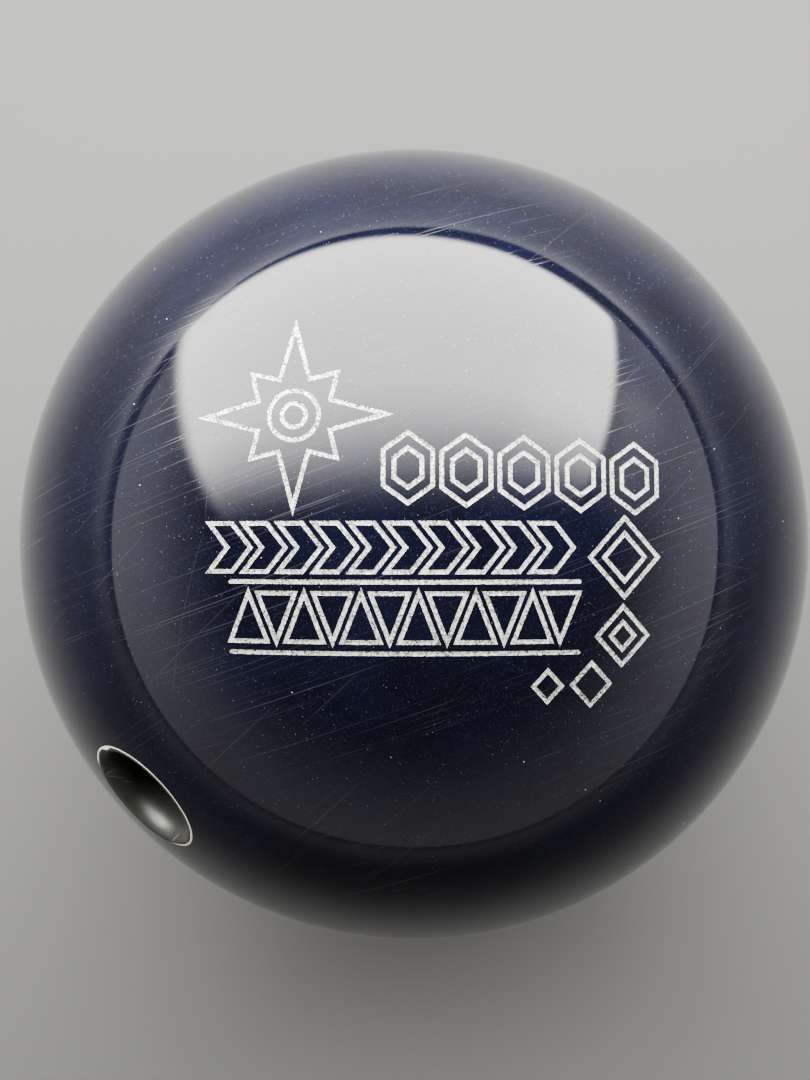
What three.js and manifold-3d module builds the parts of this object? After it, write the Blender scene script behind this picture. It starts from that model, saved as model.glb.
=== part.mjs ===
// A drilled ten-pin bowling ball, as the separate pieces that it is made of.
//
// Millimetres, +Z up. The origin is the centre of the ball. +Z leaves it through the middle of the engraved
// emblem. The midline of the grip lies in the YZ plane on the -Y side, with the thumb hole above the two
// finger holes. From the inside out the pieces are a dense weight block, the light outer core poured around
// it, and the coverstock poured around that. Glued into the drilled holes are a hard thumb slug and two soft
// finger inserts. Two pins are left from moulding: one that held the weight block, and one that marks its
// heavy side.
import * as THREE from 'three';
import { mergeVertices } from 'three/addons/utils/BufferGeometryUtils.js';
import Module from 'manifold-3d';

// Ball
const ballRadius = 108.5;
const coverThickness = 20;
const clearance = 0.3; // between pieces that touch on the real ball
const outsideDetail = 14; // subdivisions of the octahedron that each sphere starts from
const insideDetail = 9;

// Grip: angles are seen from the centre of the ball
const thumbTilt = 59.2; // from +Z down to the thumb hole
const spanAngle = 66; // from the thumb hole down to the finger holes
const fingerHalfSpread = 8.2; // from the midline of the grip out to each finger hole
const fingerSidePitch = 12.7; // how far each finger hole's axis passes beside the centre
const glueThickness = 0.6;
const roundSegments = 36; // around a hole and the sleeve in it
const lipSegments = 5; // along a rounded lip

const thumb = {
  sleeveDiameter: 31.75,
  boreDiameter: 25.4,
  sleeveLength: 64,
  boreDepth: 59,
  lip: 2.8,
  lipDepth: 6.5,
  holeDepth: 66,
};
const finger = {
  sleeveDiameter: 24.6,
  boreDiameter: 20.4,
  sleeveLength: 35,
  lip: 1.5,
  lipDepth: 1.8,
  holeDepth: 44,
};
const drillPoint = 3; // depth of the shallow cone that the drill leaves in the thumb bore
const overshoot = 12; // how far a sleeve is made too long, before it is cut flush with the ball

// Weight block: a bulb with a wider foot, squeezed on the sides that face the thumb hole and away from it
const pinTilt = 145; // from +Z down to the locator pin
const pinOffset = -12; // sideways from the midline of the grip, on the ring finger's side
const massBiasTurn = 20; // turns the heavy side away from +Z, about the pin
const blockTop = 51;
const blockBottom = -64;
const blockWidth = 1.05; // times the profile, towards the heavy side
const blockDepth = 0.72; // times the profile, across it
const blockSegments = 28;
const blockSteps = 14; // along its outline
const locatorPinDiameter = 12.7;
const massBiasPin = { diameter: 4.8, length: 12 };
const cavityGrowth = 1.5; // sideways, times the margin, because the squeeze and the slopes thin it

const weldDistance = 1e-3; // vertices closer than this become one

const wasm = await Module();
wasm.setup();

// A closed geometry as a solid that can be joined and cut
function solidFrom(geometry) {
  const bare = geometry.clone();
  bare.deleteAttribute('normal');
  bare.deleteAttribute('uv');
  const merged = mergeVertices(bare, weldDistance);
  const corners = Array.from(merged.index.array);
  const kept = [];
  for (let i = 0; i < corners.length; i += 3) {
    const [a, b, c] = corners.slice(i, i + 3);
    if (a !== b && b !== c && c !== a) kept.push(a, b, c);
  }
  return new wasm.Manifold(new wasm.Mesh({
    numProp: 3,
    vertProperties: new Float32Array(merged.attributes.position.array),
    triVerts: new Uint32Array(kept),
  }));
}

function geometryFrom(solid) {
  const mesh = solid.getMesh();
  const geometry = new THREE.BufferGeometry();
  geometry.setAttribute('position', new THREE.BufferAttribute(new Float32Array(mesh.vertProperties), 3));
  geometry.setIndex(new THREE.BufferAttribute(new Uint32Array(mesh.triVerts), 1));
  geometry.computeVertexNormals();
  return geometry;
}

const materials = {
  coverstock: { color: 0x0b0f24, roughness: 0.12, metalness: 0.0 },
  outerCore: { color: 0xb9b4a4, roughness: 0.8, metalness: 0.0 },
  weightBlock: { color: 0x8f2f2a, roughness: 0.6, metalness: 0.0 },
  pin: { color: 0xd8d4c8, roughness: 0.35, metalness: 0.0 },
  glue: { color: 0xf3ede1, roughness: 0.4, metalness: 0.0 },
  slug: { color: 0x17191a, roughness: 0.45, metalness: 0.0 },
  insert: { color: 0x1d1f24, roughness: 0.7, metalness: 0.0 },
};

function piece(name, solid, look) {
  const mesh = new THREE.Mesh(geometryFrom(solid), new THREE.MeshStandardMaterial(materials[look]));
  mesh.name = name;
  return mesh;
}

// The direction from the centre that is tilt degrees down from +Z towards -Y, and aside degrees towards +X
function direction(tilt, aside = 0) {
  const down = THREE.MathUtils.degToRad(tilt);
  const side = THREE.MathUtils.degToRad(aside);
  return new THREE.Vector3(
    Math.sin(side),
    -Math.sin(down) * Math.cos(side),
    Math.cos(down) * Math.cos(side),
  );
}

// A group whose +Z points out of the ball along an axis. Its origin is where the axis meets the surface.
function frameOnSurface(mouth, inside = new THREE.Vector3()) {
  const group = new THREE.Group();
  group.position.copy(mouth);
  group.quaternion.setFromUnitVectors(new THREE.Vector3(0, 0, 1), mouth.clone().sub(inside).normalize());
  group.updateMatrix();
  return group;
}

// A sphere around the ball's centre, as it lies in a group's own frame
function sphereIn(group, radius, detail) {
  const geometry = new THREE.OctahedronGeometry(radius, detail);
  if (group) geometry.applyMatrix4(group.matrix.clone().invert());
  return solidFrom(geometry);
}

// A rod along Z, as it lies in a group's own frame or, with place, in the ball's
function rod(radius, bottom, top, place = null) {
  const geometry = new THREE.CylinderGeometry(radius, radius, top - bottom, roundSegments);
  geometry.rotateX(Math.PI / 2);
  geometry.translate(0, 0, (top + bottom) / 2);
  if (place) geometry.applyMatrix4(place.matrix);
  return solidFrom(geometry);
}

// A profile of [radius, height] turned around Z
function turned(profile, segments) {
  const geometry = new THREE.LatheGeometry(profile.map(([r, h]) => new THREE.Vector2(r, h)), segments);
  geometry.rotateX(Math.PI / 2);
  return geometry;
}

// The height of the ball's surface in a hole's frame, at a distance from the hole's axis
function surfaceHeight(distance) {
  return Math.sqrt(ballRadius ** 2 - distance ** 2) - ballRadius;
}

// The rounded lip of a bore, from the top of the sleeve down into the bore: a quarter of an ellipse
function lipProfile(boreRadius, { lip, lipDepth }) {
  const crest = surfaceHeight(boreRadius + lip);
  const points = [];
  for (let i = 0; i <= lipSegments; i += 1) {
    const turn = (i / lipSegments) * (Math.PI / 2);
    points.push([boreRadius + lip * (1 - Math.sin(turn)), crest - lipDepth * (1 - Math.cos(turn))]);
  }
  return points;
}

// The blind sleeve that the thumb goes into
function thumbSlug(frame) {
  const outer = thumb.sleeveDiameter / 2;
  const bore = thumb.boreDiameter / 2;
  const lip = lipProfile(bore, thumb);
  const profile = [
    [0, -thumb.sleeveLength],
    [outer, -thumb.sleeveLength],
    [outer, overshoot],
    [bore + thumb.lip, overshoot],
    ...lip,
    [bore, drillPoint - thumb.boreDepth],
    [0, -thumb.boreDepth],
  ];
  return solidFrom(turned(profile, roundSegments)).intersect(sphereIn(frame, ballRadius, outsideDetail));
}

// The open sleeve that a finger goes into
function fingerInsert(frame) {
  const outer = finger.sleeveDiameter / 2;
  const bore = finger.boreDiameter / 2;
  const bottom = -finger.sleeveLength;
  const profile = [
    [bore, bottom],
    [outer, bottom],
    [outer, overshoot],
    [bore + finger.lip, overshoot],
    ...lipProfile(bore, finger),
    [bore, bottom],
  ];
  return solidFrom(turned(profile, roundSegments)).intersect(sphereIn(frame, ballRadius, outsideDetail));
}

// The layer of glue around a sleeve
function glueSleeve(frame, size) {
  const inner = size.sleeveDiameter / 2 + clearance;
  const outer = inner + glueThickness;
  const bottom = -size.sleeveLength;
  const profile = [
    [inner, bottom],
    [outer, bottom],
    [outer, overshoot],
    [inner, overshoot],
    [inner, bottom],
  ];
  return solidFrom(turned(profile, roundSegments)).intersect(sphereIn(frame, ballRadius, outsideDetail));
}

// What the drill takes out of the ball, in the ball's frame
function drilled(frame, size) {
  const radius = size.sleeveDiameter / 2 + glueThickness + 2 * clearance;
  return rod(radius, -size.holeDepth, overshoot, frame);
}

// The outline of half the weight block, from its foot to its top, grown on all sides by a margin
function blockProfile(margin) {
  const outline = new THREE.SplineCurve([
    new THREE.Vector2(24, blockBottom),
    new THREE.Vector2(41, -52),
    new THREE.Vector2(46, -30),
    new THREE.Vector2(37, -4),
    new THREE.Vector2(37, 16),
    new THREE.Vector2(34, 36),
    new THREE.Vector2(16, blockTop),
  ]);
  const side = outline.getPoints(blockSteps).map((point) => [point.x + cavityGrowth * margin, point.y]);
  return [
    [0, blockBottom - margin],
    [side[0][0], blockBottom - margin],
    ...side.slice(1, -1),
    [side.at(-1)[0], blockTop + margin],
    [0, blockTop + margin],
  ];
}

// The block's own frame: +Z towards the locator pin, +X towards its heavy side
function blockFrame() {
  const pin = direction(pinTilt, pinOffset);
  const heavy = new THREE.Vector3(-1, 0, 0).projectOnPlane(pin).normalize();
  heavy.applyAxisAngle(pin, THREE.MathUtils.degToRad(massBiasTurn));
  const group = new THREE.Group();
  group.quaternion.setFromRotationMatrix(
    new THREE.Matrix4().makeBasis(heavy, new THREE.Vector3().crossVectors(pin, heavy), pin),
  );
  group.updateMatrix();
  return { group, heavy };
}

function blockSolid(margin, place = null) {
  const geometry = turned(blockProfile(margin), blockSegments);
  geometry.scale(blockWidth, blockDepth, 1);
  if (place) geometry.applyMatrix4(place.matrix);
  return solidFrom(geometry);
}

function makeBall() {
  const ball = new THREE.Group();
  const { group: block, heavy } = blockFrame();

  const thumbFrame = frameOnSurface(direction(thumbTilt).multiplyScalar(ballRadius));
  const fingers = [['middle', 1], ['ring', -1]].map(([name, side]) => ({
    name,
    frame: frameOnSurface(
      direction(thumbTilt + spanAngle, side * fingerHalfSpread).multiplyScalar(ballRadius),
      new THREE.Vector3(side * fingerSidePitch, 0, 0),
    ),
  }));
  const markFrame = frameOnSurface(heavy.clone().multiplyScalar(ballRadius));

  const pinRadius = locatorPinDiameter / 2;
  const markRadius = massBiasPin.diameter / 2;
  const pinHole = rod(pinRadius + clearance, blockTop, ballRadius + overshoot, block);
  const markHole = rod(markRadius + clearance, -massBiasPin.length - clearance, overshoot, markFrame);
  const holes = [
    drilled(thumbFrame, thumb),
    ...fingers.map(({ frame }) => drilled(frame, finger)),
    pinHole,
  ];

  const cavityRadius = ballRadius - coverThickness;
  let cover = sphereIn(null, ballRadius, outsideDetail)
    .subtract(sphereIn(null, cavityRadius, insideDetail))
    .subtract(markHole);
  let core = sphereIn(null, cavityRadius - clearance, insideDetail)
    .subtract(blockSolid(clearance, block));
  for (const hole of holes) {
    cover = cover.subtract(hole);
    core = core.subtract(hole);
  }
  ball.add(piece('coverstock', cover, 'coverstock'));
  ball.add(piece('outer_core', core, 'outerCore'));

  const locatorPin = rod(pinRadius, blockTop + clearance, ballRadius + overshoot)
    .intersect(sphereIn(block, ballRadius, outsideDetail));
  block.add(piece('weight_block', blockSolid(0), 'weightBlock'));
  block.add(piece('locator_pin', locatorPin, 'pin'));

  const massMark = rod(markRadius, -massBiasPin.length, overshoot)
    .intersect(sphereIn(markFrame, ballRadius, outsideDetail));
  markFrame.add(piece('mass_bias_pin', massMark, 'pin'));

  thumbFrame.add(piece('thumb_slug', thumbSlug(thumbFrame), 'slug'));
  thumbFrame.add(piece('thumb_slug_glue', glueSleeve(thumbFrame, thumb), 'glue'));
  for (const { name, frame } of fingers) {
    frame.add(piece(`${name}_finger_insert`, fingerInsert(frame), 'insert'));
    frame.add(piece(`${name}_finger_glue`, glueSleeve(frame, finger), 'glue'));
  }
  ball.add(block, markFrame, thumbFrame, ...fingers.map(({ frame }) => frame));
  return ball;
}

export default makeBall();
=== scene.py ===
"""A drilled ten-pin bowling ball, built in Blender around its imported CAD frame.

Metres, +Z up, in the CAD model's frame. The origin is the ball's centre, and +Z leaves the ball through
the middle of the engraved emblem. The midline of the grip lies in the YZ plane on the -Y side, with the
thumb hole above the two finger holes. Every piece of the ball rides on the one body, "root".
"""

import math

import bmesh
import bpy
import numpy as np
from mathutils import Matrix, Vector


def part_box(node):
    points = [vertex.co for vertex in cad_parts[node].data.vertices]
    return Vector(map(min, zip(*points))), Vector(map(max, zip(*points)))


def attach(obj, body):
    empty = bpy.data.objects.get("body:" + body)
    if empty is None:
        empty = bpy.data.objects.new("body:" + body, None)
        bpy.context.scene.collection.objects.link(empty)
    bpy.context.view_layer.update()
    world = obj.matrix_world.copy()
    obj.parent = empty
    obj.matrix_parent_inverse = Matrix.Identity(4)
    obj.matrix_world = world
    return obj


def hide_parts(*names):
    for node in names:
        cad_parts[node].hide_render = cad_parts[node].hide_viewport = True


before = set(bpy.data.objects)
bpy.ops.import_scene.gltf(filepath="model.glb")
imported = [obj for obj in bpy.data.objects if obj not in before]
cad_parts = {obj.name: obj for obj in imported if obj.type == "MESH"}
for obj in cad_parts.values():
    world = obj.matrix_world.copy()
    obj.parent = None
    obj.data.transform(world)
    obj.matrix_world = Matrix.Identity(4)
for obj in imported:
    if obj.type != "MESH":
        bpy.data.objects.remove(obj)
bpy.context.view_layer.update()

MM = 0.001
BODY = "root"

# The ball's layers
BALL_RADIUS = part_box("coverstock")[1].z
COVER_THICKNESS = 20 * MM
CORE_RADIUS = BALL_RADIUS - COVER_THICKNESS
SURFACE_STEPS = 112  # quads along each side of the cube that the cover's sphere starts from
INNER_STEPS = 40

# The grip, as angles seen from the centre of the ball
THUMB_TILT = math.radians(59.2)
SPAN_ANGLE = math.radians(66.0)
FINGER_HALF_SPREAD = math.radians(8.2)
FINGER_SIDE_PITCH = 12.7 * MM
ROUND_STEPS = 144  # around a hole and the sleeve in it
GLUE_WIDTH = 0.5 * MM

THUMB = {
    "sleeve_radius": 31.75 / 2 * MM,
    "bore_radius": 25.4 / 2 * MM,
    "sleeve_length": 64 * MM,
    "bore_depth": 59 * MM,
    "hole_depth": 66 * MM,
    "lip": 2.8 * MM,
    "lip_depth": 6.5 * MM,
    "lip_unevenness": 0.08,
    "glue_chips": [(207, 0.3 * MM, 3.0), (80, 0.12 * MM, 5.0)],
    "sleeve_chips": [(166, 1.25 * MM, 5.0), (20, 0.15 * MM, 5.0)],
}
FINGER = {
    "sleeve_radius": 24.6 / 2 * MM,
    "bore_radius": 20.4 / 2 * MM,
    "sleeve_length": 35 * MM,
    "hole_depth": 44 * MM,
    "lip": 1.5 * MM,
    "lip_depth": 1.8 * MM,
    "lip_unevenness": 0.05,
    "glue_chips": [(300, 0.2 * MM, 4.0)],
    "sleeve_chips": [(120, 0.15 * MM, 4.0)],
}
DRILL_POINT = 3 * MM

# The weight block and the pins. The locator pin's direction is given as the grip's are.
PIN_TILT = math.radians(145)
PIN_ASIDE = math.radians(-12)
MASS_BIAS_TURN = math.radians(20)  # the block's heavy side, around the locator pin
PIN_RADIUS = 6.35 * MM
MARK_RADIUS = 2.4 * MM
MARK_LENGTH = 12 * MM
BLOCK_TOP = 51 * MM
BLOCK_WIDTH = 1.05  # its sections are ellipses: these two times the outline's half width
BLOCK_DEPTH = 0.72
CAVITY_GROWTH = 1.5  # sideways, times the gap, because the squeeze and the slopes thin it

# The emblem: a drawing in millimetres on the plane that touches the ball at +Z, laid straight down onto it
EMBLEM_TURN = math.radians(47)  # its right-hand side, from +X
EMBLEM_RIGHT = Vector((math.cos(EMBLEM_TURN), math.sin(EMBLEM_TURN), 0))
EMBLEM_UP = Vector((-math.sin(EMBLEM_TURN), math.cos(EMBLEM_TURN), 0))
STROKE = 0.525 * MM  # half the width of an engraved line
GROOVE_DEPTH = 0.35 * MM
GROOVE_FLOOR = 0.8  # the floor's width as a share of the line's
CORNER_ROOM = 1.35  # how much of a line a corner takes up, as a multiple of what its mitre needs

# Gaps between pieces
PIN_GAP = 0.04 * MM
MARK_GAP = 0.03 * MM
CORE_GAP = 0.3 * MM
GLUE_GAP = 0.005 * MM

# The camera, in the emblem's frame. Its lens is in millimetres, for a picture 36 mm high.
CAMERA_DISTANCE = 459 * MM
CAMERA_RIGHT = -2.43 * MM
CAMERA_UP = 1.02 * MM
CAMERA_LENS = 54.07
CAMERA_SENSOR = 36

# The studio's two soft lights: towards is (right, up, out) in the emblem's frame, and fades are the shares of
# the light's width and height over which its left, right, lower and upper edges fade out
KEY = {
    "towards": (-0.10, 0.76, 0.70),
    "distance": 1.1,
    "size": (3.3, 2.2),
    "power": 440,
    "fades": (0.10, 0.06, 0.50, 0.06),
}
FILL = {
    "towards": (0.74, 0.42, 0.53),
    "distance": 1.4,
    "size": (1.4, 1.3),
    "power": 9,
    "fades": (0.2, 0.4, 0.4, 0.3),
}
LIGHT_COLOUR = (1.0, 0.985, 0.945)

# Its walls and ceiling: how bright they are, and the sines of the angles between which one turns to the other
WALL_LIGHT = 1.5
DARK_WALL = 0.3  # the darkest wall's light, as a share of that
CEILING_LIGHT = 0.16
WALL_FOOT = 0.12
WALL_TOP = 0.65

# Its floor: how far from the ball's middle its tone starts and stops growing darker in a band of painted
# shade, and then paler again
FLOOR_HALF = 6.0  # half of its side
FLOOR_SHADE_BAND = (0.16, 0.50)
FLOOR_PALES = (0.7, 3.2)

SCRATCH_HALF_WIDTH = 0.07 * MM
# The clearest scratches: the ends of each in the emblem's plane, in millimetres
LONG_SCRATCHES = [
    ((-41, 47), (-47, 4)),
    ((-47, 4), (-56, -36)),
    ((72, -18), (74, -27)),
    ((-30, -70), (-27, -74)),
    ((22, 44), (36, 58)),
    ((53, 6.5), (84, 17.5)),
    ((55, 4.0), (85, 14.0)),
    ((56, 1.5), (83, 10.0)),
    ((-56, -30), (-34, -21)),
    ((-50, -33), (-22, -22)),
    ((68, -4), (80, -6)),
    ((-74.6, -48.5), (-60, -38.5)),
    ((-73.2, -50.5), (-57, -39.5)),
    ((-71, -51.5), (-59, -43.5)),
]
# Where fine parallel scratches lie thickest: x, y and reach in the emblem's plane, in millimetres
SCRATCHED = [(66, 2, 42), (-42, -24, 48), (34, 40, 34)]

random = np.random.default_rng(7)


# -------------------------------------------------------------------------------- frames and meshes


def direction(tilt, aside=0.0):
    """The unit vector that is tilt down from +Z towards -Y, and aside towards +X."""
    return Vector(
        (
            math.sin(aside),
            -math.sin(tilt) * math.cos(aside),
            math.cos(tilt) * math.cos(aside),
        )
    )


def surface_frame(mouth, inside=Vector((0, 0, 0))):
    """A frame whose +Z points out of the ball from inside through mouth, with its origin at mouth."""
    out = (mouth - inside).normalized()
    side = (Vector((1, 0, 0)) - out * out.x).normalized()
    across = out.cross(side)
    turn = Matrix((side, across, out)).transposed().to_4x4()
    return Matrix.Translation(mouth) @ turn


def new_object(name, data, place=None):
    thing = bpy.data.objects.new(name, data)
    bpy.context.scene.collection.objects.link(thing)
    if place is not None:
        thing.matrix_world = place
    return thing


def outward(mesh):
    """Turns the faces of a closed mesh outwards."""
    shape = bmesh.new()
    shape.from_mesh(mesh)
    bmesh.ops.recalc_face_normals(shape, faces=shape.faces)
    shape.to_mesh(mesh)
    shape.free()


def smooth(mesh, sharp_angle=35):
    mesh.shade_smooth()
    mesh.set_sharp_from_angle(angle=math.radians(sharp_angle))


def mesh_from_rings(name, rings, closed=False):
    """A closed mesh over rings of points, each a (count, 3) array. A ring of one point is a pole."""
    points = []
    starts = []
    for ring in rings:
        starts.append(len(points))
        points.extend(ring)
    faces = []
    pairs = list(zip(range(len(rings)), range(1, len(rings))))
    if closed:
        pairs.append((len(rings) - 1, 0))
    for a, b in pairs:
        count = max(len(rings[a]), len(rings[b]))
        for i in range(count):
            j = (i + 1) % count
            low = [starts[a] + i, starts[a] + j] if len(rings[a]) > 1 else [starts[a]]
            high = [starts[b] + j, starts[b] + i] if len(rings[b]) > 1 else [starts[b]]
            faces.append(low + high)
    mesh = bpy.data.meshes.new(name)
    mesh.from_pydata([tuple(p) for p in points], [], faces)
    outward(mesh)
    return mesh


def circle(radius, height, steps=ROUND_STEPS):
    """A level ring. radius and height are numbers, or arrays with a value for each step."""
    turn = np.linspace(0, 2 * math.pi, steps, endpoint=False)
    return np.stack(
        [radius * np.cos(turn), radius * np.sin(turn), height + 0 * turn],
        axis=1,
    )


def pole(height):
    return np.array([[0.0, 0.0, height]])


def cube_sphere(name, radius, steps, inside_out=False):
    """A sphere of even quads, with a vertex exactly on each axis."""
    line = np.tan(np.linspace(-1, 1, steps + 1) * math.pi / 4)
    across, along = np.meshgrid(line, line, indexing="ij")
    ahead = np.ones_like(across)
    points = []
    faces = []
    for axis in range(3):
        for sign in (1, -1):
            start = sum(len(p) for p in points)
            grid = [None, None, None]
            grid[axis] = ahead * sign
            grid[(axis + 1) % 3] = across * sign
            grid[(axis + 2) % 3] = along
            side = np.stack(grid, axis=-1).reshape(-1, 3)
            points.append(side / np.linalg.norm(side, axis=1, keepdims=True) * radius)
            corner = (np.arange(steps)[:, None] * (steps + 1) + np.arange(steps)).ravel() + start
            faces.append(np.stack([corner, corner + steps + 1, corner + steps + 2, corner + 1], axis=1))
    mesh = bpy.data.meshes.new(name)
    mesh.from_pydata(np.concatenate(points).tolist(), [], np.concatenate(faces).tolist())
    shape = bmesh.new()
    shape.from_mesh(mesh)
    bmesh.ops.remove_doubles(shape, verts=shape.verts, dist=radius * 1e-5)
    bmesh.ops.recalc_face_normals(shape, faces=shape.faces)
    if inside_out:
        bmesh.ops.reverse_faces(shape, faces=shape.faces)
    shape.to_mesh(mesh)
    shape.free()
    return mesh


def joined(name, meshes):
    """One mesh that holds separate closed meshes."""
    shape = bmesh.new()
    for mesh in meshes:
        shape.from_mesh(mesh)
    whole = bpy.data.meshes.new(name)
    shape.to_mesh(whole)
    shape.free()
    return whole


def cut(name, solid, cutters):
    """What is left of a solid when the cutters, which don't touch each other, are taken out of it."""
    thing = new_object(name, solid)
    cutter = new_object(name + "_cutter", joined(name + "_cutters", cutters))
    modifier = thing.modifiers.new("cut", "BOOLEAN")
    modifier.operation = "DIFFERENCE"
    modifier.solver = "MANIFOLD"
    modifier.object = cutter
    graph = bpy.context.evaluated_depsgraph_get()
    mesh = bpy.data.meshes.new_from_object(thing.evaluated_get(graph))
    mesh.name = name
    for used in (thing, cutter):
        bpy.data.objects.remove(used)
    return mesh


def true_sphere_normals(mesh, radius):
    """Gives the faces on a sphere the sphere's own normals, so that cuts leave its reflections clean."""
    smooth(mesh, 30)
    points = np.empty(len(mesh.vertices) * 3, np.float32)
    mesh.vertices.foreach_get("co", points)
    points = points.reshape(-1, 3)
    lengths = np.linalg.norm(points, axis=1)
    corner_vertex = np.empty(len(mesh.loops), np.int32)
    mesh.loops.foreach_get("vertex_index", corner_vertex)
    corner_normals = np.empty(len(mesh.loops) * 3, np.float32)
    mesh.corner_normals.foreach_get("vector", corner_normals)
    corner_normals = corner_normals.reshape(-1, 3)
    starts = np.empty(len(mesh.polygons), np.int32)
    mesh.polygons.foreach_get("loop_start", starts)
    on_sphere = np.abs(lengths - radius) < 0.004 * MM
    face_on_sphere = np.logical_and.reduceat(on_sphere[corner_vertex], starts)
    counts = np.diff(np.append(starts, len(mesh.loops)))
    corner_on_sphere = np.repeat(face_on_sphere, counts)
    radial = points[corner_vertex] / lengths[corner_vertex][:, None]
    corner_normals[corner_on_sphere] = radial[corner_on_sphere]
    mesh.normals_split_custom_set(corner_normals.tolist())


# ----------------------------------------------------------------------------------- emblem drawing


def polygon(centre, radius, sides, turn=0.0, squeeze=1.0):
    corners = []
    for i in range(sides):
        angle = math.radians(turn + 360 * i / sides)
        corners.append(
            (
                centre[0] + radius * math.cos(angle),
                centre[1] + squeeze * radius * math.sin(angle),
            )
        )
    return corners


def chevron(left, middle, width, height, reach):
    """An arrow-shaped block that points to the right."""
    half = height / 2
    return [
        (left, middle - half),
        (left + width, middle - half),
        (left + width + reach, middle),
        (left + width, middle + half),
        (left, middle + half),
        (left + reach, middle),
    ]


def compass(centre):
    """A compass rose with four long points and four short ones, around two circles."""
    rose = []
    for i in range(16):
        angle = math.radians(90 + 22.5 * i)
        reach = (20.5, 8.8, 13.6, 8.8)[i % 4]
        rose.append((centre[0] + reach * math.cos(angle), centre[1] + reach * math.sin(angle)))
    return [rose, polygon(centre, 5.6, 24), polygon(centre, 2.7, 16)]


def hexagon_row():
    shapes = []
    for i in range(5):
        centre = (-1.8 + 12.7 * i, 16.8 - 0.5 * i)
        shapes.append(polygon(centre, 6.2, 6, 30, 1.25))
        shapes.append(polygon(centre, 3.5, 6, 30, 1.25))
    return shapes


def chevron_row():
    return [chevron(-46.0 + 7.9 * i, -0.6, 5.3, 10.6, 4.2) for i in range(10)]


def triangle_row():
    """Triangles that point up and down in turn, between the two rules."""
    low = -21.3
    high = -10.6
    half = 4.2
    shapes = []
    for i in range(12):
        middle = -37.0 + 6.25 * i
        base, tip = (low, high) if i % 2 == 0 else (high, low)
        shapes.append([(middle - half, base), (middle + half, base), (middle, tip)])
    return shapes


def diamond_tail():
    places = [(46.5, -2.8, 8.0), (46.3, -20.4, 6.0), (39.2, -31.2, 4.4), (29.2, -31.4, 3.2)]
    shapes = []
    for x, y, size in places:
        shapes.append(polygon((x, y), size, 4, 0, 1.1))
        if size > 5:
            shapes.append(polygon((x, y), size - 3.2, 4, 0, 1.1))
    return shapes


RULES = [[(-41.5, -8.1), (36.5, -8.1)], [(-41.5, -23.8), (36.5, -23.8)]]
EMBLEM = {
    "compass": (compass((-27.0, 28.6)), True),
    "hexagons": (hexagon_row(), True),
    "chevrons": (chevron_row(), True),
    "triangles": (triangle_row(), True),
    "rules": (RULES, False),
    "diamonds": (diamond_tail(), True),
}


def corner_sides(before, corner, after):
    """A line's left side at a corner, for a half width of one, and how far it reaches along the line."""
    arriving = (corner - before) / np.linalg.norm(corner - before)
    leaving = (after - corner) / np.linalg.norm(after - corner)
    one = np.array([-arriving[1], arriving[0]])
    two = np.array([-leaving[1], leaving[0]])
    mitre = (one + two) / (1 + one @ two)
    return mitre, math.sqrt(max(0.0, mitre @ mitre - 1))


def closed_stations(corners, step):
    """Points along a closed line, each with the offset of its left side."""
    corners = [np.array(c) * MM for c in corners]
    count = len(corners)
    sides = [corner_sides(corners[i - 1], corners[i], corners[(i + 1) % count]) for i in range(count)]
    stations = []
    for i, corner in enumerate(corners):
        mitre, reach = sides[i]
        stations.append((corner, mitre))
        after = corners[(i + 1) % count]
        length = np.linalg.norm(after - corner)
        ahead = (after - corner) / length
        side = np.array([-ahead[1], ahead[0]])
        start = CORNER_ROOM * STROKE * (reach + 0.4)
        end = length - CORNER_ROOM * STROKE * (sides[(i + 1) % count][1] + 0.4)
        if end > start:
            pieces = max(1, int(math.ceil((end - start) / step)))
            stations += [(corner + ahead * along, side) for along in np.linspace(start, end, pieces + 1)]
    return stations


def open_stations(ends, step):
    """Points along a straight line with round ends, as closed_stations gives them."""
    start, end = (np.array(e) * MM for e in ends)
    length = np.linalg.norm(end - start)
    ahead = (end - start) / length
    side = np.array([-ahead[1], ahead[0]])
    places = []
    for turn in (6, 25, 50, 90):
        angle = math.radians(turn)
        places.append((STROKE * (1 - math.cos(angle)), math.sin(angle)))
    inner = np.arange(STROKE + step, length - STROKE, step)
    placed = places + [(d, 1.0) for d in inner]
    placed += [(length - d, w) for d, w in reversed(places)]
    return [(start + ahead * d, side * w) for d, w in placed]


def on_ball(flat, radius):
    """Lays points of the emblem's plane straight down onto the ball, then moves them to a radius."""
    depth = np.sqrt(BALL_RADIUS**2 - (flat**2).sum(axis=1))
    right = np.array(EMBLEM_RIGHT)
    up = np.array(EMBLEM_UP)
    points = flat[:, :1] * right + flat[:, 1:] * up + depth[:, None] * np.array([0, 0, 1.0])
    return points / BALL_RADIUS * np.reshape(radius, (-1, 1))


def swept(name, lines, closed, section, step, grain=0.0):
    """Closed meshes that follow lines over the ball. section lists (share of the half width, height)."""
    meshes = []
    for line in lines:
        stations = closed_stations(line, step) if closed else open_stations(line, step)
        rings = []
        for middle, side in stations:
            flat = np.array([middle + share * STROKE * side for share, _ in section])
            heights = np.array([h for _, h in section])
            uneven = random.normal(0, grain, len(section)) * (heights > -0.6 * GROOVE_DEPTH)
            rings.append(on_ball(flat, BALL_RADIUS + heights + uneven))
        if closed:
            meshes.append(mesh_from_rings(name, rings, closed=True))
        else:
            first = rings[0].mean(axis=0, keepdims=True)
            last = rings[-1].mean(axis=0, keepdims=True)
            meshes.append(mesh_from_rings(name, [first, *rings, last]))
    return meshes


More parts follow.
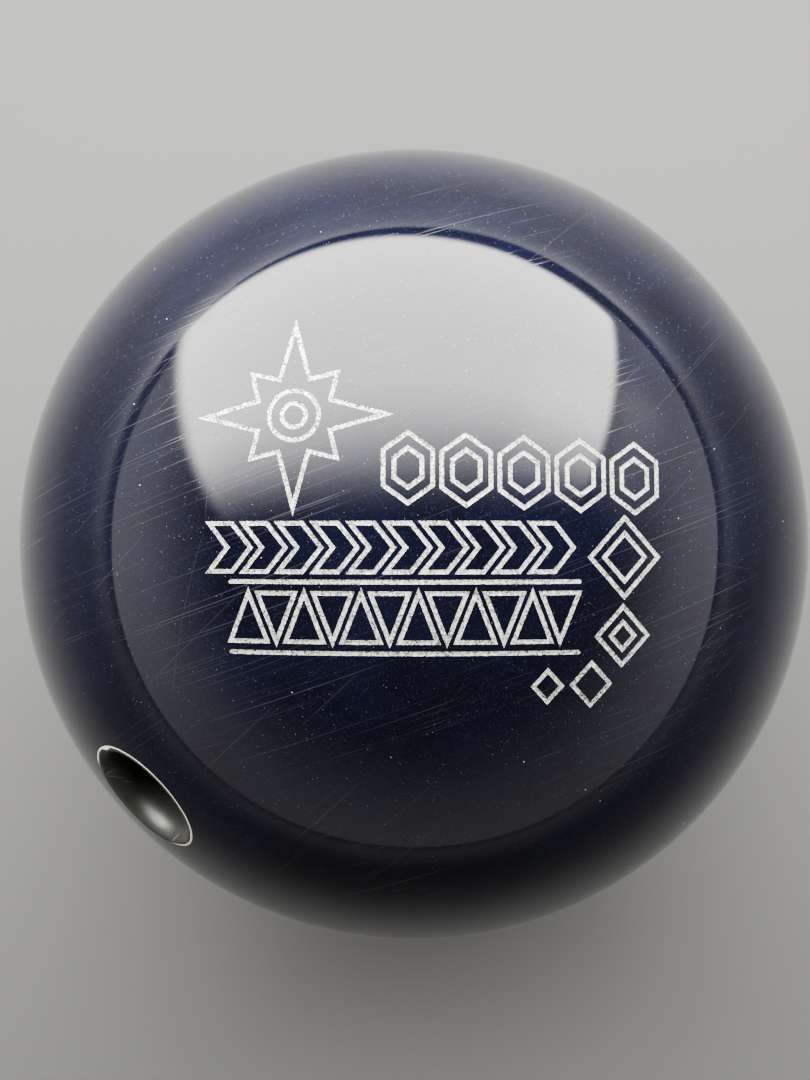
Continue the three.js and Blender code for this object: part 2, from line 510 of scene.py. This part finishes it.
def groove_cutters():
    above = 0.4 * MM
    widened = 1 + (1 - GROOVE_FLOOR) * above / GROOVE_DEPTH
    section = [
        (widened, above),
        (-widened, above),
        (-GROOVE_FLOOR, -GROOVE_DEPTH),
        (GROOVE_FLOOR, -GROOVE_DEPTH),
    ]
    cutters = []
    for name, (lines, closed) in EMBLEM.items():
        cutters += swept(name + "_groove", lines, closed, section, 2 * MM)
    return cutters


def emblem_paint(name, lines, closed):
    """The paint that fills a group of grooves, a little below the surface and uneven like dried glitter."""
    section = [(0.95, -0.05 * MM), (0.6, -0.07 * MM), (0.2, -0.09 * MM)]
    section += [(-s, h) for s, h in reversed(section)]
    section += [(-0.8, -0.33 * MM), (0.8, -0.33 * MM)]
    meshes = swept(name, lines, closed, section, 0.45 * MM, grain=0.012 * MM)
    mesh = joined(name, meshes)
    smooth(mesh, 60)
    return new_object(name, mesh)


# -------------------------------------------------------------------------------- holes and sleeves


def surface_height(place, points):
    """How high above a hole's mouth the ball's surface lies, over points (x, y) of the hole's own frame."""
    centre = place.inverted() @ Vector((0, 0, 0))
    x = points[:, 0] - centre.x
    y = points[:, 1] - centre.y
    return centre.z + np.sqrt(BALL_RADIUS**2 - x**2 - y**2)


def flush_ring(place, radius, below=0.0):
    """A ring that follows the ball's surface around a hole, or lies a little below it."""
    ring = circle(radius, 0.0)
    ring[:, 2] = surface_height(place, ring) - below
    return ring


def chipped(chips):
    """How deep small chips are around an edge. A chip is its place, depth, and half width, in degrees."""
    turn = np.linspace(0, 2 * math.pi, ROUND_STEPS, endpoint=False)
    depth = np.zeros(ROUND_STEPS)
    for where, size, width in chips:
        away = (turn - math.radians(where) + math.pi) % (2 * math.pi) - math.pi
        depth += size * np.exp(-((away / math.radians(width)) ** 2))
    return depth


def glue_edge(size):
    """The outside of a glue line, which is slightly uneven and fills small chips in the drilled edge."""
    turn = np.linspace(0, 2 * math.pi, ROUND_STEPS, endpoint=False)
    uneven = 0.04 * MM * np.sin(3 * turn + 0.8) + 0.03 * MM * np.sin(7 * turn + 2.1)
    return size["sleeve_radius"] + GLUE_WIDTH + uneven + chipped(size["glue_chips"])


def sleeve_edge(size):
    """The outside of a sleeve's top, where glue fills the small chips."""
    return size["sleeve_radius"] - chipped(size["sleeve_chips"])


def hole_cutter(place, edge, depth):
    """What the drill takes out of the ball, with a shallow cone at its bottom. edge has a value per step."""
    above = 6 * MM
    rings = [
        pole(-depth - DRILL_POINT),
        circle(edge.min(), -depth),
        circle(edge.min(), -5 * MM),
        circle(edge, -1.5 * MM),
        circle(edge, above),
        pole(above),
    ]
    mesh = mesh_from_rings("hole", rings)
    mesh.transform(place)
    return mesh


def lip_rings(place, size):
    """The rounded and slightly uneven lip of a bore, from the top of the sleeve down into the bore."""
    turn = np.linspace(0, 2 * math.pi, ROUND_STEPS, endpoint=False)
    lip = size["lip"] * (1 + size["lip_unevenness"] * np.cos(turn + 1.2))
    bore = size["bore_radius"]
    crest = flush_ring(place, bore + lip)[:, 2]
    rings = []
    for angle in np.radians(np.arange(0, 91, 5)):
        radius = bore + lip * (1 - math.sin(angle))
        rings.append(circle(radius, crest - size["lip_depth"] * (1 - math.cos(angle))))
    return rings


def sleeve(name, place, size):
    """A thumb slug or a finger insert, in the hole's own frame: blind where it has a bore_depth."""
    outer = size["sleeve_radius"]
    edge = sleeve_edge(size)
    bore = size["bore_radius"]
    bottom = -size["sleeve_length"]
    bevel = 0.1 * MM
    rings = [
        circle(outer - 0.8 * MM, bottom),
        circle(outer, bottom + 0.8 * MM),
        circle(outer, bottom / 2),
        flush_ring(place, outer, 2.5 * MM),
        flush_ring(place, edge, 1.2 * MM),
        flush_ring(place, edge, bevel),
        flush_ring(place, edge - bevel),
        *lip_rings(place, size),
    ]
    below = -size["lip_depth"] - 4 * MM
    if "bore_depth" in size:
        low = DRILL_POINT - size["bore_depth"]
        rings += [circle(bore, d) for d in np.linspace(below, low, 6)]
        rings += [pole(-size["bore_depth"])]
        rings = [pole(bottom)] + rings
        mesh = mesh_from_rings(name, rings)
    else:
        rings += [circle(bore, d) for d in np.linspace(below, bottom, 6)]
        mesh = mesh_from_rings(name, rings, closed=True)
    smooth(mesh, 40)
    return new_object(name, mesh, place)


def glue_sleeve(name, place, size):
    """The glue around a sleeve. Its top is sanded flush with the ball."""
    inner = size["sleeve_radius"] + GLUE_GAP
    inner_top = sleeve_edge(size) + GLUE_GAP
    outer = glue_edge(size) - 0.01 * MM
    tight = outer.min()
    bottom = -size["sleeve_length"]
    rings = [
        circle(inner, bottom),
        circle(tight, bottom),
        circle(tight, -5 * MM),
        circle(outer, -1.4 * MM),
        flush_ring(place, outer, 0.02 * MM),
        flush_ring(place, (inner_top + outer) / 2, -0.012 * MM),
        flush_ring(place, inner_top, 0.02 * MM),
        flush_ring(place, inner_top, 1.2 * MM),
        flush_ring(place, inner, 2.5 * MM),
        circle(inner, bottom / 2),
    ]
    mesh = mesh_from_rings(name, rings, closed=True)
    smooth(mesh, 50)
    return new_object(name, mesh, place)


def flush_pin(name, place, radius, bottom):
    """A pin whose end is polished flush with the ball, in its own frame on the surface."""
    edge = 0.06 * MM
    rings = [
        pole(bottom),
        circle(radius - 0.5 * MM, bottom),
        circle(radius, bottom + 0.5 * MM),
        flush_ring(place, radius, 2 * MM),
        flush_ring(place, radius, edge),
    ]
    rings += [flush_ring(place, share * (radius - edge)) for share in (1, 0.75, 0.5, 0.25)]
    rings.append(pole(surface_height(place, np.zeros((1, 2)))[0]))
    mesh = mesh_from_rings(name, rings)
    smooth(mesh, 40)
    return new_object(name, mesh, place)


# ------------------------------------------------------------------------------------- weight block


def block_frame():
    """The weight block's frame: +Z along the locator pin, +X towards the block's heavy side."""
    pin = direction(PIN_TILT, PIN_ASIDE)
    heavy = Vector((-1, 0, 0))
    heavy = (heavy - pin * heavy.dot(pin)).normalized()
    heavy = Matrix.Rotation(MASS_BIAS_TURN, 3, pin) @ heavy
    return Matrix((heavy, pin.cross(heavy), pin)).transposed().to_4x4()


def block_rings(margin=0.0):
    """The block's outline as rings, from its foot to its top: a wide foot, a waist and a bulb."""
    heights = [-64, -62, -52, -30, -4, 16, 36, 49, 51]
    widths = [24, 28, 41, 46, 37, 37, 34, 19, 15]
    steps = np.linspace(0, len(heights) - 1, 60)
    height = eased(steps, heights) * MM
    width = eased(steps, widths) * MM + CAVITY_GROWTH * margin
    height[0] -= margin
    height[-1] += margin
    rings = [pole(height[0])]
    for h, w in zip(height, width):
        ring = circle(w, h, 96)
        ring[:, 0] *= BLOCK_WIDTH
        ring[:, 1] *= BLOCK_DEPTH
        rings.append(ring)
    return rings + [pole(height[-1])]


def eased(places, values):
    """A smooth curve through values at 0, 1, 2 and so on (Catmull-Rom), read at places."""
    values = np.array(values, float)
    padded = np.concatenate([[2 * values[0] - values[1]], values, [2 * values[-1] - values[-2]]])
    base = np.clip(np.floor(places).astype(int), 0, len(values) - 2)
    t = places - base
    a, b, c, d = (padded[base + i] for i in range(4))
    bend = 2 * a - 5 * b + 4 * c - d
    twist = 3 * b - a - 3 * c + d
    return 0.5 * (2 * b + (c - a) * t + bend * t**2 + twist * t**3)


# ---------------------------------------------------------------------------------------- materials


class Nodes:
    """Short calls for adding nodes to a tree."""

    def __init__(self, tree):
        self.tree = tree

    def node(self, kind, settings=(), inputs=()):
        made = self.tree.nodes.new(kind)
        for name, value in dict(settings).items():
            setattr(made, name, value)
        for name, value in dict(inputs).items():
            self.feed(made.inputs[name], value)
        return made

    def feed(self, socket, value):
        if isinstance(value, bpy.types.NodeSocket):
            self.tree.links.new(value, socket)
        else:
            socket.default_value = value

    def math(self, operation, one, two=0.0, clamp=False):
        settings = {"operation": operation, "use_clamp": clamp}
        return self.node("ShaderNodeMath", settings, {0: one, 1: two}).outputs[0]

    def vector(self, operation, one, two=(0, 0, 0)):
        made = self.node("ShaderNodeVectorMath", {"operation": operation}, {0: one, 1: two})
        return made.outputs["Value" if operation in ("DOT_PRODUCT", "LENGTH", "DISTANCE") else "Vector"]

    def scaled(self, vector, factor):
        made = self.node("ShaderNodeVectorMath", {"operation": "SCALE"}, {0: vector, "Scale": factor})
        return made.outputs["Vector"]

    def split(self, vector):
        return self.node("ShaderNodeSeparateXYZ", {}, {0: vector}).outputs

    def combined(self, *coordinates):
        return self.node("ShaderNodeCombineXYZ", {}, dict(enumerate(coordinates))).outputs[0]

    def noise(self, vector, scale, detail=2.0, roughness=0.5):
        inputs = {"Vector": vector, "Scale": scale, "Detail": detail, "Roughness": roughness}
        return self.node("ShaderNodeTexNoise", {}, inputs).outputs[0]

    def cells(self, vector, scale):
        """Voronoi cells: the distance to each cell's middle, and a random colour for each."""
        made = self.node("ShaderNodeTexVoronoi", {}, {"Vector": vector, "Scale": scale})
        return made.outputs["Distance"], made.outputs["Color"]

    def channels(self, colour):
        return self.node("ShaderNodeSeparateColor", {}, {0: colour}).outputs

    def ease(self, value, low, high, bottom=0.0, top=1.0):
        """A smooth step from bottom to top as value goes from low to high."""
        settings = {"interpolation_type": "SMOOTHSTEP"}
        inputs = {0: value, 1: low, 2: high, 3: bottom, 4: top}
        return self.node("ShaderNodeMapRange", settings, inputs).outputs[0]

    def blend(self, share, one, two):
        made = self.node("ShaderNodeMix", {"data_type": "RGBA"})
        self.feed(made.inputs[0], share)
        self.feed(made.inputs[6], one)
        self.feed(made.inputs[7], two)
        return made.outputs[2]

    def bump(self, height, distance, strength):
        inputs = {"Height": height, "Distance": distance, "Strength": strength}
        return self.node("ShaderNodeBump", {}, inputs).outputs[0]


class Material(Nodes):
    """A node material around one Principled shader."""

    def __init__(self, name, **uniform):
        self.data = bpy.data.materials.new(name)
        self.data.use_nodes = True
        super().__init__(self.data.node_tree)
        self.shader = self.tree.nodes["Principled BSDF"]
        self.place = self.node("ShaderNodeTexCoord").outputs["Object"]
        self.set(**uniform)

    def set(self, **sockets):
        for name, value in sockets.items():
            self.feed(self.shader.inputs[name.replace("_", " ")], value)


def scratches(material, across, stretch, width, threshold):
    """Fine parallel scratches: thin slices across one direction, broken up along the others.

    across is the direction the slices are thin in, and stretch and width are how fast the pattern changes
    along the slices and across them. Slices that would lie flat on the ball are left out.
    """
    across = Vector(across).normalized()
    side = across.orthogonal().normalized()
    rows = [across * width, side * stretch, across.cross(side) * stretch]
    sliced = material.combined(*(material.vector("DOT_PRODUCT", material.place, row) for row in rows))
    streaks = material.noise(sliced, 1.0, 1.0)
    lines = material.ease(streaks, threshold, threshold + 0.05)
    upright = material.vector("DOT_PRODUCT", material.place, across / BALL_RADIUS)
    there = material.ease(material.math("ABSOLUTE", upright), 0.85, 0.7)
    return material.math("MULTIPLY", lines, there)


def emblem_point(x, y):
    """The place on the ball below a point of the emblem's plane, given in millimetres."""
    return Vector(on_ball(np.array([[x, y]]) * MM, BALL_RADIUS)[0])


def scratch_between(material, one, two):
    """One long scratch between two points of the emblem's plane, along a plane through the ball's centre."""
    a = emblem_point(*one)
    b = emblem_point(*two)
    reach = (a - b).length / 2
    beside = material.vector("DOT_PRODUCT", material.place, a.cross(b).normalized())
    away = material.vector("DISTANCE", material.place, (a + b) / 2)
    line = material.ease(material.math("ABSOLUTE", beside), SCRATCH_HALF_WIDTH, SCRATCH_HALF_WIDTH * 0.3)
    return material.math("MULTIPLY", line, material.ease(away, reach, reach * 0.8))


def near(material, x, y, reach):
    """One near a point of the emblem's plane, and nothing at reach millimetres from it."""
    away = material.vector("DISTANCE", material.place, emblem_point(x, y))
    return material.ease(away, reach * MM, 0.3 * reach * MM)


def strongest(material, layers):
    most = layers[0]
    for layer in layers[1:]:
        most = material.math("MAXIMUM", most, layer)
    return most


def cover_flakes(m):
    """Navy resin with fine blue flakes and a few silver ones: its colour, and where the flakes are."""
    distance, colour = m.cells(m.place, 3800)
    red, green = m.channels(colour)[:2]
    depth = m.noise(m.place, 45, 4, 0.6)
    resin = m.blend(m.ease(depth, 0.3, 0.7), (0.0020, 0.0021, 0.0058, 1), (0.0030, 0.0034, 0.0108, 1))
    flake = m.blend(green, (0.006, 0.008, 0.025, 1), (0.023, 0.030, 0.074, 1))
    blue_flake = m.math("MULTIPLY", m.ease(red, 0.80, 0.86), m.ease(distance, 0.55, 0.35))
    silver_flake = m.math("MULTIPLY", m.ease(red, 0.993, 0.996), m.ease(distance, 0.45, 0.25))
    coloured = m.blend(blue_flake, resin, flake)
    coloured = m.blend(silver_flake, coloured, (0.20, 0.22, 0.26, 1))
    return coloured, m.math("MAXIMUM", blue_flake, silver_flake)


def cover_scratches(m):
    """Where the cover is scratched: hairlines in patches on top and around the ball below, and long ones."""
    rising = EMBLEM_TURN + math.radians(20)
    across = Vector((-math.sin(rising), math.cos(rising), 0))
    steeper = Matrix.Rotation(math.radians(24), 3, "Z") @ across
    clusters = strongest(m, [near(m, *spot) for spot in SCRATCHED])
    patchy = m.ease(m.noise(m.place, 30, 2), 0.48, 0.62, 0.15, 0.9)
    fine = m.math("MULTIPLY", scratches(m, across, 9, 2600, 0.64), m.math("MAXIMUM", clusters, patchy))
    crossed = m.math("MULTIPLY", scratches(m, steeper, 14, 1500, 0.71), 0.5)
    height = m.split(m.place)["Z"]
    high = m.ease(height, 0, 35 * MM)
    low = m.ease(height, 20 * MM, -15 * MM)
    around = m.math("MULTIPLY", scratches(m, (0.15, 0.2, 1), 12, 1900, 0.70), low)
    layers = [m.math("MULTIPLY", fine, high), m.math("MULTIPLY", crossed, high), around]
    layers += [scratch_between(m, one, two) for one, two in LONG_SCRATCHES]
    return strongest(m, layers)


def cover_material():
    """Polished navy resin with flakes, hairline scratches, haze and a little dust."""
    m = Material("cover_resin", IOR=1.5)
    coloured, flakes = cover_flakes(m)
    lines = cover_scratches(m)
    distance, colour = m.cells(m.place, 190)
    dust = m.math("MULTIPLY", m.ease(distance, 0.045, 0.025), m.ease(m.channels(colour)[0], 0.86, 0.88))
    marks = m.blend(m.math("MULTIPLY", lines, 0.06), coloured, (0.30, 0.31, 0.34, 1))
    marks = m.blend(m.math("MULTIPLY", dust, 0.7), marks, (0.40, 0.42, 0.42, 1))
    haze = m.ease(m.noise(m.place, 14, 4, 0.6), 0.3, 0.75, 0.035, 0.075)
    rough = m.math("ADD", haze, m.math("MULTIPLY", lines, 0.16), clamp=True)
    rough = m.math("MAXIMUM", rough, m.math("MULTIPLY", dust, 0.7))
    relief = m.math("SUBTRACT", m.math("MULTIPLY", m.noise(m.place, 700, 2), 0.3), lines)
    m.set(
        Base_Color=marks,
        Metallic=m.math("MULTIPLY", flakes, 0.35),
        Roughness=rough,
        Normal=m.bump(relief, 0.004 * MM, 0.5),
    )
    return m.data


def paint_material():
    """Silver glitter paint: bright flakes of many tones, with dark gaps between them."""
    m = Material("silver_glitter_paint", IOR=1.5)
    colour = m.cells(m.place, 2900)[1]
    tone = m.channels(colour)[0]
    patch = m.noise(m.place, 420, 3)
    flakes = m.blend(m.ease(tone, 0.15, 0.8), (0.20, 0.21, 0.20, 1), (0.66, 0.67, 0.64, 1))
    gap = m.math("MULTIPLY", m.ease(tone, 0.34, 0.22), m.ease(patch, 0.34, 0.50))
    worn = m.blend(gap, flakes, (0.055, 0.056, 0.05, 1))
    tilt = m.scaled(m.vector("SUBTRACT", colour, (0.5, 0.5, 0.5)), 0.8)
    normal = m.node("ShaderNodeNewGeometry").outputs["Normal"]
    m.set(
        Base_Color=worn,
        Metallic=m.ease(tone, 0.3, 0.9, 0.05, 0.4),
        Roughness=m.ease(tone, 0.0, 1.0, 0.6, 0.35),
        Normal=m.vector("NORMALIZE", m.vector("ADD", normal, tilt)),
    )
    return m.data


def slug_material():
    """Satin black urethane, with the reamer's rings down the bore and sanding scratches over the lip."""
    m = Material("thumb_slug_urethane", IOR=1.52)
    height = m.split(m.place)["Z"]
    ring = m.noise(m.vector("MULTIPLY", m.place, (60, 60, 2600)), 1.0, 2)
    tone = m.noise(m.place, 160, 4)
    wobble = m.node("ShaderNodeTexNoise", {}, {"Vector": m.place, "Scale": 40.0, "Detail": 1.0})
    bent = m.vector("ADD", m.place, m.scaled(wobble.outputs["Color"], 0.004))
    hairs = []
    for across in [(0.9, 0.3, 0.5), (0.4, -0.8, 0.6)]:
        thin = m.vector("DOT_PRODUCT", bent, Vector(across).normalized() * 2300)
        long = m.vector("DOT_PRODUCT", m.place, (70, 70, -70))
        hairs.append(m.ease(m.noise(m.combined(thin, long), 1.0, 1.0), 0.66, 0.70))
    sanding = m.math("MULTIPLY", strongest(m, hairs), m.ease(height, -11 * MM, -4 * MM))
    sanding = m.math("MULTIPLY", sanding, m.ease(m.noise(m.place, 90, 2), 0.40, 0.60))
    base = m.blend(tone, (0.018, 0.020, 0.016, 1), (0.032, 0.033, 0.029, 1))
    base = m.blend(m.math("MULTIPLY", sanding, 0.60), base, (0.24, 0.24, 0.23, 1))
    rough = m.math("ADD", m.ease(tone, 0.3, 0.7, 0.34, 0.44), m.math("MULTIPLY", sanding, 0.12))
    relief = m.math("SUBTRACT", m.math("MULTIPLY", ring, 0.5), sanding)
    m.set(Base_Color=base, Roughness=rough, Normal=m.bump(relief, 0.015 * MM, 0.6))
    return m.data


def insert_material():
    """Soft matt black vinyl with a fine moulded grain."""
    m = Material("finger_insert_vinyl", IOR=1.48)
    distance = m.cells(m.place, 900)[0]
    tone = m.noise(m.place, 220, 4)
    base = m.blend(tone, (0.010, 0.011, 0.013, 1), (0.026, 0.027, 0.031, 1))
    height = m.math("ADD", m.math("MULTIPLY", distance, 0.7), tone)
    m.set(
        Base_Color=base,
        Roughness=m.ease(tone, 0.3, 0.7, 0.52, 0.70),
        Normal=m.bump(height, 0.05 * MM, 0.7),
    )
    return m.data


def glue_material():
    """Set epoxy: pale and slightly yellow, with darker dirt in places, and painted shade along its -Y side,
    which faces away from the camera.
    """
    m = Material("set_epoxy", IOR=1.52)
    tone = m.noise(m.place, 300, 4)
    dirt = m.ease(m.noise(m.place, 110, 3), 0.62, 0.74)
    base = m.blend(tone, (0.62, 0.58, 0.48, 1), (0.80, 0.78, 0.70, 1))
    base = m.blend(m.math("MULTIPLY", dirt, 0.4), base, (0.20, 0.15, 0.10, 1))
    # painted shade: the glue is darkened along its -Y side, away from the camera
    below = m.vector("DOT_PRODUCT", m.place, (0, -1, 0))
    base = m.blend(m.ease(below, 6 * MM, 10 * MM), base, (0.030, 0.022, 0.016, 1))
    m.set(
        Base_Color=base,
        Roughness=m.ease(tone, 0.3, 0.7, 0.3, 0.5),
        Normal=m.bump(tone, 0.02 * MM, 0.6),
    )
    return m.data


def cast_material(name, dark, light, grain, rough):
    """Filled cast resin: two tones swirled together, with specks of filler."""
    m = Material(name, IOR=1.5)
    swirl = m.noise(m.vector("ADD", m.place, m.vector("MULTIPLY", m.place, (2, 3, 1))), 9, 5, 0.6)
    distance, colour = m.cells(m.place, grain)
    filler = m.ease(m.channels(colour)[0], 0.9, 0.95)
    base = m.blend(m.ease(swirl, 0.35, 0.65), (*dark, 1), (*light, 1))
    base = m.blend(m.math("MULTIPLY", filler, 0.5), base, (0.55, 0.53, 0.48, 1))
    m.set(
        Base_Color=base,
        Roughness=m.ease(swirl, 0.3, 0.7, rough, rough + 0.12),
        Normal=m.bump(m.math("ADD", swirl, distance), 0.05 * MM, 0.5),
    )
    return m.data


def floor_material():
    """A plain pale floor, with a band of painted shade around the ball so that the rim doesn't reflect a
    bright one.
    """
    m = Material("studio_floor", IOR=1.45)
    tone = m.noise(m.place, 3, 3)
    pale = m.blend(tone, (0.095, 0.095, 0.094, 1), (0.103, 0.103, 0.102, 1))
    away = m.vector("LENGTH", m.vector("MULTIPLY", m.place, (1, 1, 0)))
    # painted shade: the floor's colour is darker in a band around the ball
    painted_shade_band = m.blend(m.ease(away, *FLOOR_SHADE_BAND), pale, (0.040, 0.040, 0.040, 1))
    m.set(
        Base_Color=m.blend(m.ease(away, *FLOOR_PALES), painted_shade_band, (0.62, 0.62, 0.615, 1)),
        Roughness=m.ease(tone, 0.3, 0.7, 0.8, 0.9),
    )
    return m.data


# ----------------------------------------------------------------------------------------- the ball


def finish_piece(thing, material, slot, *replaced):
    """Gives a piece its material, its body and the CAD nodes that it stands for. slot is not used."""
    thing.data.materials.clear()
    thing.data.materials.append(material)
    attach(thing, BODY)
    if replaced:
        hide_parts(*replaced)


def grip_frames():
    """The frames of the holes' mouths: the thumb's, and the fingers' by name."""
    thumb = surface_frame(direction(THUMB_TILT) * BALL_RADIUS)
    fingers = {}
    for name, side in (("middle", 1), ("ring", -1)):
        mouth = direction(THUMB_TILT + SPAN_ANGLE, side * FINGER_HALF_SPREAD) * BALL_RADIUS
        fingers[name] = surface_frame(mouth, Vector((side * FINGER_SIDE_PITCH, 0, 0)))
    return thumb, fingers


def make_cover(drilled, pin, mark):
    """The cover: a shell without the grip's holes, the pins' holes and the emblem's grooves."""
    pin_depth = BALL_RADIUS - BLOCK_TOP - DRILL_POINT - 0.5 * MM
    pin_hole = hole_cutter(pin, np.full(ROUND_STEPS, PIN_RADIUS + PIN_GAP), pin_depth)
    mark_hole = hole_cutter(mark, np.full(ROUND_STEPS, MARK_RADIUS + MARK_GAP), MARK_LENGTH)
    outside = cube_sphere("cover_outside", BALL_RADIUS, SURFACE_STEPS)
    inside = cube_sphere("cover_inside", CORE_RADIUS, INNER_STEPS, inside_out=True)
    shell = joined("cover_shell", [outside, inside])
    mesh = cut("coverstock_skin", shell, [*drilled, pin_hole, mark_hole, *groove_cutters()])
    true_sphere_normals(mesh, BALL_RADIUS)
    cover = new_object("coverstock_engraved", mesh)
    finish_piece(cover, cover_material(), "coverstock", "coverstock")


def make_paint():
    paint = paint_material()
    for name, (lines, closed) in EMBLEM.items():
        finish_piece(emblem_paint(f"emblem_{name}_paint", lines, closed), paint, "emblem_paint")


def make_core(drilled, block):
    """The outer core, hollow around the weight block, and the weight block in it."""
    ball = cube_sphere("core_outside", CORE_RADIUS - CORE_GAP, INNER_STEPS)
    cavity = mesh_from_rings("block_cavity", block_rings(CORE_GAP))
    cavity.transform(block)
    mesh = cut("outer_core_cast", ball, [*drilled, cavity])
    smooth(mesh)
    look = cast_material("filler_core_resin", (0.34, 0.33, 0.29), (0.50, 0.48, 0.42), 700, 0.72)
    finish_piece(new_object("outer_core_cast", mesh), look, "outer_core", "outer_core")

    mesh = mesh_from_rings("weight_block_cast", block_rings())
    smooth(mesh)
    look = cast_material("dense_core_resin", (0.16, 0.02, 0.016), (0.30, 0.045, 0.03), 900, 0.5)
    finish_piece(new_object("weight_block_cast", mesh, block), look, "weight_block", "weight_block")


def make_pins(pin, mark):
    look = cast_material("pin_resin", (0.52, 0.50, 0.44), (0.66, 0.64, 0.58), 1500, 0.22)
    locator = flush_pin("locator_pin_dowel", pin, PIN_RADIUS, BLOCK_TOP + CORE_GAP - BALL_RADIUS)
    finish_piece(locator, look, "locator_pin", "locator_pin")
    dot = flush_pin("mass_bias_dot", mark, MARK_RADIUS, -MARK_LENGTH)
    finish_piece(dot, look, "mass_bias_pin", "mass_bias_pin")


def make_grip(thumb, fingers):
    """The thumb slug and the two finger inserts, each in its glue."""
    glue = glue_material()
    slug = sleeve("thumb_slug_lined", thumb, THUMB)
    finish_piece(slug, slug_material(), "thumb_slug", "thumb_slug")
    ring = glue_sleeve("thumb_glue_line", thumb, THUMB)
    finish_piece(ring, glue, "glue", "thumb_slug_glue")
    vinyl = insert_material()
    for name, place in fingers.items():
        insert = sleeve(f"{name}_finger_sleeve", place, FINGER)
        finish_piece(insert, vinyl, "finger_insert", f"{name}_finger_insert")
        ring = glue_sleeve(f"{name}_finger_glue_line", place, FINGER)
        finish_piece(ring, glue, "glue", f"{name}_finger_glue")


def make_ball():
    thumb, fingers = grip_frames()
    block = block_frame()
    pin = block @ Matrix.Translation((0, 0, BALL_RADIUS))
    mark = surface_frame(block.to_3x3() @ Vector((1, 0, 0)) * BALL_RADIUS)
    drilled = [hole_cutter(thumb, glue_edge(THUMB), THUMB["hole_depth"])]
    drilled += [hole_cutter(place, glue_edge(FINGER), FINGER["hole_depth"]) for place in fingers.values()]
    make_cover(drilled, pin, mark)
    make_paint()
    make_core(drilled, block)
    make_pins(pin, mark)
    make_grip(thumb, fingers)


# -------------------------------------------------------------------------------------------- stage


def make_camera():
    """The camera looks straight down on the emblem, a little to one side of the ball's centre."""
    data = bpy.data.cameras.new("camera")
    data.lens = CAMERA_LENS
    data.sensor_width = CAMERA_SENSOR
    data.clip_start = 0.01
    turn = Matrix((EMBLEM_RIGHT, EMBLEM_UP, Vector((0, 0, 1)))).transposed().to_4x4()
    spot = EMBLEM_RIGHT * CAMERA_RIGHT + EMBLEM_UP * CAMERA_UP + Vector((0, 0, CAMERA_DISTANCE))
    bpy.context.scene.camera = new_object("camera", data, Matrix.Translation(spot) @ turn)


def softbox(name, towards, distance, size, power, fades):
    """An area light that faces the ball from a direction, and fades out at its edges."""
    data = bpy.data.lights.new(name, "AREA")
    data.shape = "RECTANGLE"
    data.size, data.size_y = size
    data.energy = power
    data.color = LIGHT_COLOUR
    data.use_nodes = True
    nodes = Nodes(data.node_tree)
    place = nodes.split(nodes.node("ShaderNodeNewGeometry").outputs["Parametric"])
    share = 1.0
    for axis, end, fade in zip("XXYY", (0, 1, 0, 1), fades):
        share = nodes.math("MULTIPLY", nodes.ease(place[axis], end, abs(end - fade)), share)
    nodes.feed(nodes.tree.nodes["Emission"].inputs["Strength"], nodes.math("POWER", share, 2))
    right, up, out = towards
    back = (EMBLEM_RIGHT * right + EMBLEM_UP * up + Vector((0, 0, out))).normalized()
    side = (EMBLEM_RIGHT - back * EMBLEM_RIGHT.dot(back)).normalized()
    turn = Matrix((side, back.cross(side), back)).transposed().to_4x4()
    new_object(name, data, Matrix.Translation(back * distance) @ turn)


def studio_world():
    """Dim above, and pale around the horizon like a studio's walls. The wall below the emblem is darker."""
    world = bpy.data.worlds.new("studio")
    world.use_nodes = True
    nodes = Nodes(world.node_tree)
    place = nodes.node("ShaderNodeTexCoord").outputs["Generated"]
    low = nodes.ease(nodes.vector("DOT_PRODUCT", place, (0, 0, -1)), -WALL_TOP, -WALL_FOOT)
    lit = nodes.ease(nodes.vector("DOT_PRODUCT", place, EMBLEM_UP), -0.9, 0.1, DARK_WALL)
    wall = nodes.math("MULTIPLY", nodes.math("MULTIPLY", low, lit), WALL_LIGHT)
    background = nodes.tree.nodes["Background"]
    nodes.feed(background.inputs["Color"], (1.0, 0.985, 0.94, 1))
    nodes.feed(background.inputs["Strength"], nodes.math("ADD", wall, CEILING_LIGHT))
    return world


def make_stage():
    mesh = bpy.data.meshes.new("floor")
    half = FLOOR_HALF
    level = -BALL_RADIUS
    corners = [(-half, -half, level), (half, -half, level), (half, half, level), (-half, half, level)]
    mesh.from_pydata(corners, [], [(0, 1, 2, 3)])
    mesh.materials.append(floor_material())
    new_object("floor", mesh)

    softbox("key_softbox", **KEY)
    softbox("fill_softbox", **FILL)
    bpy.context.scene.world = studio_world()
    bpy.context.scene.view_settings.view_transform = "AgX"
    bpy.context.scene.view_settings.look = "AgX - Medium High Contrast"


make_camera()
make_stage()
make_ball()
